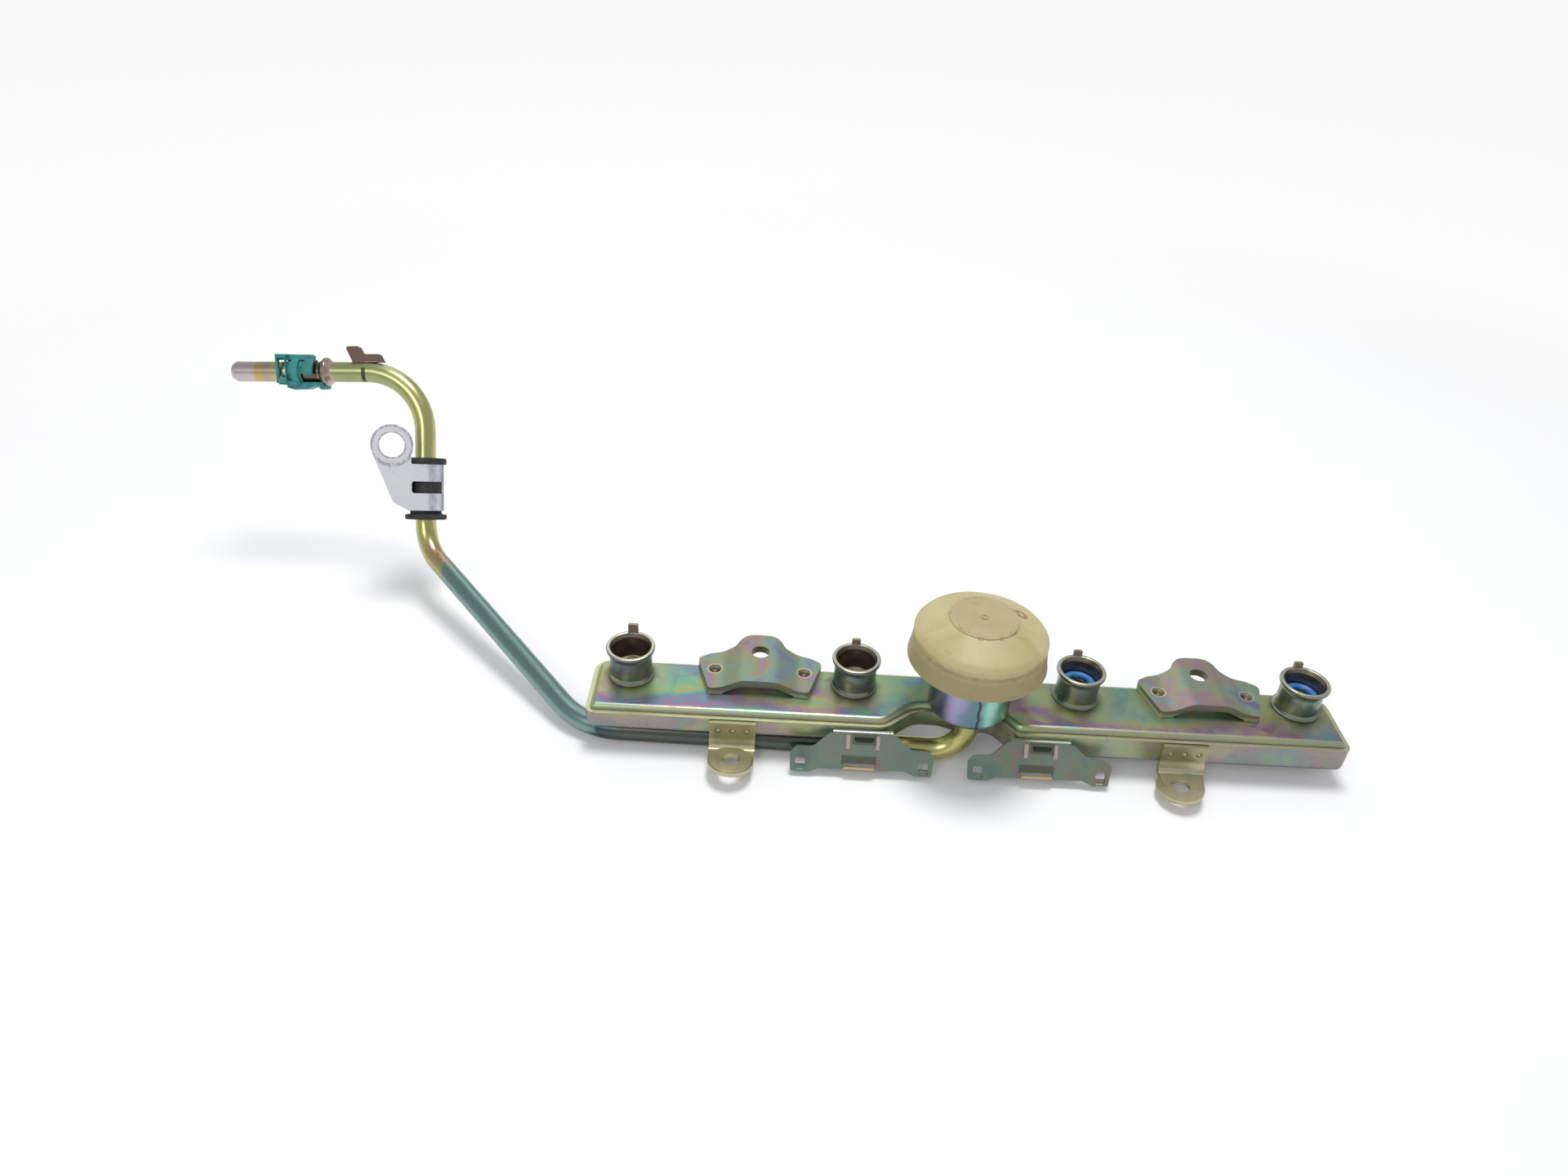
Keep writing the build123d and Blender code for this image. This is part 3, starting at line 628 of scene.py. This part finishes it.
def dressAll():
    # the last number of each zincPlate is its seed
    dress(["rail_upper_shell"], zincPlate("railTopZinc", railLook, 1))
    dress(["rail_lower_shell"], zincPlate("railTrayZinc", trayLook, 2))
    for i, place in enumerate(cupPlaces):
        look = {**cupLook, "marks": cupMarks(place)}
        dress([f"injector_cup_{i + 1}"], zincPlate(f"cupZinc{i + 1}", look, 3 + i * 1.7))
    dress(["mount_bracket_left", "mount_bracket_right"], zincPlate("bracketZinc", bracketLook, 11))
    dress(["side_tab_left", "side_tab_right"], zincPlate("sideTabZinc", sideTabLook, 12))
    for side, x in clipPaint["centres"].items():
        look = {**clipLook, "marks": clipMarks(railPoint(x, 0, 0).x)}
        dress([f"harness_clip_{side}"], zincPlate(f"clipZinc{side.title()}", look, 13 + x))
    dress(["feed_tube"], zincPlate("tubeZinc", tubeLook, 14))
    dress(["damper_housing"], canPlate())
    dress(["damper_cap"], capPlastic())
    dress(["pipe_clamp"], rolledAluminium())
    dress(["clamp_grommet"], plainRubber("grommetRubber", (34, 34, 34), (62, 60, 58), 0.7))
    seal = plainRubber("sealRubber", (52, 116, 190), (84, 150, 212), 0.4)
    dress(["injector_seal_3", "injector_seal_4"], seal)
    dress(["damper_diaphragm"], plainRubber("diaphragmRubber", (40, 38, 36), (70, 66, 60), 0.6))
    dress(["damper_spring"], springSteel("springWire", (120, 120, 124)))
    dress(["damper_cover", "damper_spring_seat"], springSteel("brightZinc", (176, 178, 180)))


# pieces that the photo shows finer than the solids: the retainer, the small tab and the braze

pipeEnd = {
    "corner": (-214.4, 102.1, 64.3),       # last corner of the pipe, in millimetres
    "along": (-0.998, 0.012, -0.061), "front": (0.376, -0.837, 0.397),
}
endCorner = Vector(pipeEnd["corner"])
endDir = Vector(pipeEnd["along"]).normalized()
endUp = endDir.cross(Vector(pipeEnd["front"])).normalized()
endFace = endUp.cross(endDir).normalized()


def endPoint(up, out, along):
    # millimetres above the pipe's axis, towards the viewer, and past the last corner
    return railPoint(*(endCorner + endUp * up + endFace * out + endDir * along))


def addPrism(shape, outline, low, high):
    # closed plate from (up, along) points between two distances towards the viewer
    rings = [[shape.verts.new(endPoint(up, out, along)) for up, along in outline] for out in (low, high)]
    shape.faces.new(rings[0])
    shape.faces.new(list(reversed(rings[1])))
    for i in range(len(outline)):
        j = (i + 1) % len(outline)
        shape.faces.new((rings[0][i], rings[1][i], rings[1][j], rings[0][j]))


def addArc(shape, along, radii, sweep, steps=20):
    # closed curved strip round the pipe: sweep in degrees, 0 towards the viewer, 90 upwards
    section = [(radii[0], along[0]), (radii[1], along[0]), (radii[1], along[1]), (radii[0], along[1])]
    rings = []
    for i in range(steps + 1):
        angle = math.radians(sweep[0] + (sweep[1] - sweep[0]) * i / steps)
        up, out = math.sin(angle), math.cos(angle)
        rings.append([shape.verts.new(endPoint(up * r, out * r, a)) for r, a in section])
    shape.faces.new(rings[0])
    shape.faces.new(list(reversed(rings[-1])))
    for here, after in zip(rings, rings[1:]):
        for k in range(4):
            shape.faces.new((here[k], after[k], after[(k + 1) % 4], here[(k + 1) % 4]))


def finishPiece(name, shape, mat, bevel=0.0, replaced=()):
    bmesh.ops.recalc_face_normals(shape, faces=shape.faces)
    data = bpy.data.meshes.new(name)
    shape.to_mesh(data)
    shape.free()
    piece = bpy.data.objects.new(name, data)
    bpy.context.scene.collection.objects.link(piece)
    data.materials.append(mat)
    if bevel:
        rounding = piece.modifiers.new("rounding", "BEVEL")
        rounding.width, rounding.segments, rounding.limit_method = bevel * mm, 2, "ANGLE"
    if replaced:
        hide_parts(*replaced)
    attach(piece, "root")
    return piece


retainer = {
    # outlines are (up, along), in endPoint's millimetres, then from where to where towards the viewer
    "frameUp": (-4.4, 6.9), "frameAlong": (53.6, 57.6), "frameOut": (4.3, 6.2),
    "slotUp": (-2.2, 5.4), "slotAlong": (53.95, 56.7), "bevel": 0.2,
    "walls": [
        ([(-4.4, 53.6), (5.4, 53.6), (5.4, 57.6), (-4.4, 57.6)], -5.0, -4.2),
        ([(4.6, 53.6), (6.9, 53.6), (6.9, 57.0), (4.6, 57.6)], -4.6, 4.6),
        ([(-5.2, 53.6), (-4.3, 53.6), (-4.3, 57.6), (-4.9, 57.6)], -4.6, 4.6),
    ],
    # sleeve and ribs: along, radii, sweep
    "arcs": [
        ((48.4, 53.6), (4.3, 5.2), (-70, 200)), ((44.0, 48.4), (4.3, 5.0), (-8, 115)),
        ((49.1, 51.8), (5.1, 6.3), (-66, 66)), ((43.2, 46.6), (4.9, 6.3), (-14, 60)),
    ],
    "spine": ([(4.6, 45.2), (5.4, 44.1), (6.3, 44.3), (6.8, 45.0), (6.8, 54.0), (4.6, 54.0)], -1.0, 3.4),
    "leg": ([(-4.0, 55.0), (-6.2, 54.8), (-7.0, 51.6), (-6.9, 47.2), (-5.5, 43.8), (-5.6, 42.4), (-6.9, 41.2),
             (-6.9, 39.9), (-5.6, 39.6), (-4.0, 40.4)], -3.0, 3.4),
    "lug": ((49.9, 54.6), (4.6, 6.6), (-95, -35), 10),
}


def buildRetainer():
    shape = bmesh.new()
    low, high = retainer["frameUp"]
    near, far = retainer["frameAlong"]
    slotLow, slotHigh = retainer["slotUp"]
    slotNear, slotFar = retainer["slotAlong"]
    bars = [(slotHigh, high, near, far), (low, slotLow, near, far),
            (slotLow, slotHigh, near, slotNear), (slotLow, slotHigh, slotFar, far)]
    for up0, up1, a0, a1 in bars:
        addPrism(shape, [(up0, a0), (up1, a0), (up1, a1), (up0, a1)], *retainer["frameOut"])
    for wall in retainer["walls"]:
        addPrism(shape, *wall)
    for arc in retainer["arcs"]:
        addArc(shape, *arc)
    addPrism(shape, *retainer["spine"])
    addPrism(shape, *retainer["leg"])
    addArc(shape, *retainer["lug"])
    finishPiece("connectorRetainer", shape, retainerPlastic(), retainer["bevel"],
                ["connector_retainer"])


tubeTab = {
    "plate": ([(3.7, 28.8), (9.2, 31.2), (10.2, 30.7), (10.3, 26.4), (9.7, 25.4), (7.6, 24.2), (7.2, 23.3),
               (7.2, 18.0), (6.8, 17.3), (3.7, 15.7)], -0.6, 0.6),
    "foot": ([(3.75, 18.6), (4.3, 18.6), (4.3, 23.6), (3.75, 23.6)], -1.0, 1.6), "bevel": 0.2,
}


def buildTubeTab():
    shape = bmesh.new()
    addPrism(shape, *tubeTab["plate"])
    addPrism(shape, *tubeTab["foot"])
    mat = zincPlate("tabPlateZinc", tabLook, 15)
    finishPiece("tubeTabPlate", shape, mat, tubeTab["bevel"], ["tube_tab"])


braze = {
    "cupRing": 7.95, "cupZ": 0.30, "cupBead": 0.42, "cupRipple": 0.22, "cupSteps": 72,
    "foot": [(-22.0, 5.6), (-17.6, -9.5), (-12.6, -8.95)],   # bracket foot, from its outer corner to the arch
    "footZ": 0.15, "footBead": 0.32, "footRipple": 0.18,
    "spacing": 0.0006, "sides": 8, "lumps": 900.0, "grime": 0.6,
}


def beadTree():
    # a braze bead that follows the edges it is given, with a slightly uneven surface
    tree = bpy.data.node_groups.new("brazeBead", "GeometryNodeTree")
    face = tree.interface
    face.new_socket("Geometry", in_out="INPUT", socket_type="NodeSocketGeometry")
    for name in ("Bead radius", "Ripple"):
        face.new_socket(name, in_out="INPUT", socket_type="NodeSocketFloat")
    face.new_socket("Bead material", in_out="INPUT", socket_type="NodeSocketMaterial")
    face.new_socket("Geometry", in_out="OUTPUT", socket_type="NodeSocketGeometry")
    root = Sig(tree, None)
    given = tree.nodes.new("NodeGroupInput")
    edges, bead, ripple, finish = (Sig(tree, given.outputs[i]) for i in range(4))
    path = root.node("GeometryNodeMeshToCurve", {}, {"Mesh": edges})
    path = root.node("GeometryNodeResampleCurve", {"mode": "LENGTH"},
                     {"Curve": path, "Length": braze["spacing"]})
    ring = root.node("GeometryNodeCurvePrimitiveCircle", {}, {"Resolution": braze["sides"], "Radius": bead})
    tube = root.node("GeometryNodeCurveToMesh", {}, {"Curve": path, "Profile Curve": ring, "Fill Caps": True})
    spot = root.node("GeometryNodeInputPosition")
    lump = root.node("ShaderNodeTexNoise", {}, {"Vector": spot, "Scale": braze["lumps"], "Detail": 2.0},
                     out="Color")
    centred = lump.shift((-0.5, -0.5, -0.5))
    offset = root.node("ShaderNodeVectorMath", {"operation": "SCALE"}, {0: centred, "Scale": ripple})
    tube = root.node("GeometryNodeSetPosition", {}, {"Geometry": tube, "Offset": offset})
    tube = root.node("GeometryNodeRealizeInstances", {}, {"Geometry": tube})
    tube = root.node("GeometryNodeSetMaterial", {}, {"Geometry": tube, "Material": finish})
    result = tree.nodes.new("NodeGroupOutput")
    tree.links.new(tube.socket, result.inputs[0])
    return tree


def buildBead(name, paths, radius, ripple, mat, tree):
    # each path is its points in rail millimetres, and whether it closes
    shape = bmesh.new()
    for points, closed in paths:
        verts = [shape.verts.new(railPoint(*p)) for p in points]
        count = len(verts) if closed else len(verts) - 1
        for i in range(count):
            shape.edges.new((verts[i], verts[(i + 1) % len(verts)]))
    data = bpy.data.meshes.new(name + "Path")
    shape.to_mesh(data)
    shape.free()
    guide = bpy.data.objects.new(name + "Path", data)
    bpy.context.scene.collection.objects.link(guide)
    bead = guide.modifiers.new("bead", "NODES")
    bead.node_group = tree
    names = {item.name: item.identifier for item in tree.interface.items_tree if item.in_out == "INPUT"}
    bead[names["Bead radius"]] = radius * mm
    bead[names["Ripple"]] = ripple * mm
    bead[names["Bead material"]] = mat
    bpy.context.view_layer.update()
    solid = bpy.data.meshes.new_from_object(guide.evaluated_get(bpy.context.evaluated_depsgraph_get()))
    bpy.data.objects.remove(guide)
    made = bmesh.new()
    made.from_mesh(solid)
    bmesh.ops.remove_doubles(made, verts=made.verts, dist=1e-7)
    for f in made.faces:
        f.smooth = True
    finishPiece(name, made, mat)


def buildBraze():
    tree = beadTree()
    mat = zincPlate("brazeZinc", {**bracketLook, "marks": brazeMarks, "grimeAmount": braze["grime"]}, 21)
    turn = [2 * math.pi * i / braze["cupSteps"] for i in range(braze["cupSteps"])]
    circle = [(braze["cupRing"] * math.cos(a), braze["cupRing"] * math.sin(a)) for a in turn]
    rings = [([(cup + x, y, braze["cupZ"]) for x, y in circle], True) for cup in cupLine]
    buildBead("cupBraze", rings, braze["cupBead"], braze["cupRipple"], mat, tree)
    lines = [([(bolt + side * x, y, braze["footZ"]) for x, y in braze["foot"]], False)
             for bolt in boltLine for side in (1, -1)]
    buildBead("footBraze", lines, braze["footBead"], braze["footRipple"], mat, tree)


# floor and world

def stageFloor():
    low = floorSetup["drop"]
    half = floorSetup["half"]
    corners = [(-half, -half, -low), (half, -half, -low), (half, half, -low), (-half, half, -low)]
    data = bpy.data.meshes.new("floor")
    data.from_pydata(corners, [], [(0, 1, 2, 3)])
    floor = bpy.data.objects.new("floor", data)
    bpy.context.scene.collection.objects.link(floor)
    mat, root, where, _ = newMaterial("paleFloor")
    shader = mat.node_tree.nodes["Principled BSDF"]
    cloud = root.noise(where, 6.0, 2.0, 0.5)
    finishMaterial(mat, cloud.step(0.3, 0.7).mix(*floorSetup["tones"]), floorSetup["rough"])
    # the floor reads white to the eye and in the metal, and still keeps the shadow
    eye = root.ray("Camera") + root.ray("Glossy") + root.ray("Transmission")
    away = where.distance((0.0, 0.0, 0.0)).step(*floorSetup["fade"])
    seen = eye * (floorSetup["near"] + away * (floorSetup["far"] - floorSetup["near"]))
    glow = root.node("ShaderNodeEmission", {}, {"Color": white, "Strength": 1.0}, out="Emission")
    blend = root.node("ShaderNodeMixShader", {}, {0: seen, 1: Sig(mat.node_tree, shader.outputs[0]), 2: glow})
    mat.node_tree.links.new(blend.socket, mat.node_tree.nodes["Material Output"].inputs["Surface"])
    floor.data.materials.append(mat)


def paleWorld():
    world = bpy.data.worlds.new("paleRoom")
    world.use_nodes = True
    bpy.context.scene.world = world
    tree = world.node_tree
    root = Sig(tree, None)
    up = root.node("ShaderNodeTexCoord", {}, {}, out="Generated").part("Z")
    sky = up.step(*worldSetup["rise"]).mix(worldSetup["low"], worldSetup["high"])
    # the camera sees plain white past the floor's edge
    seen = root.ray("Camera").most(root.ray("Transmission"))
    background = tree.nodes["Background"]
    tree.links.new(seen.mix(sky, white).socket, background.inputs["Color"])
    background.inputs["Strength"].default_value = worldSetup["strength"]


bpy.context.scene.view_settings.view_transform = "Standard"
placeCamera()
placeLights()
print("camera and lights placed")
paleWorld()
stageFloor()
dressAll()
print("materials on all CAD nodes")
buildRetainer()
buildTubeTab()
buildBraze()
print("retainer, tab and braze built")
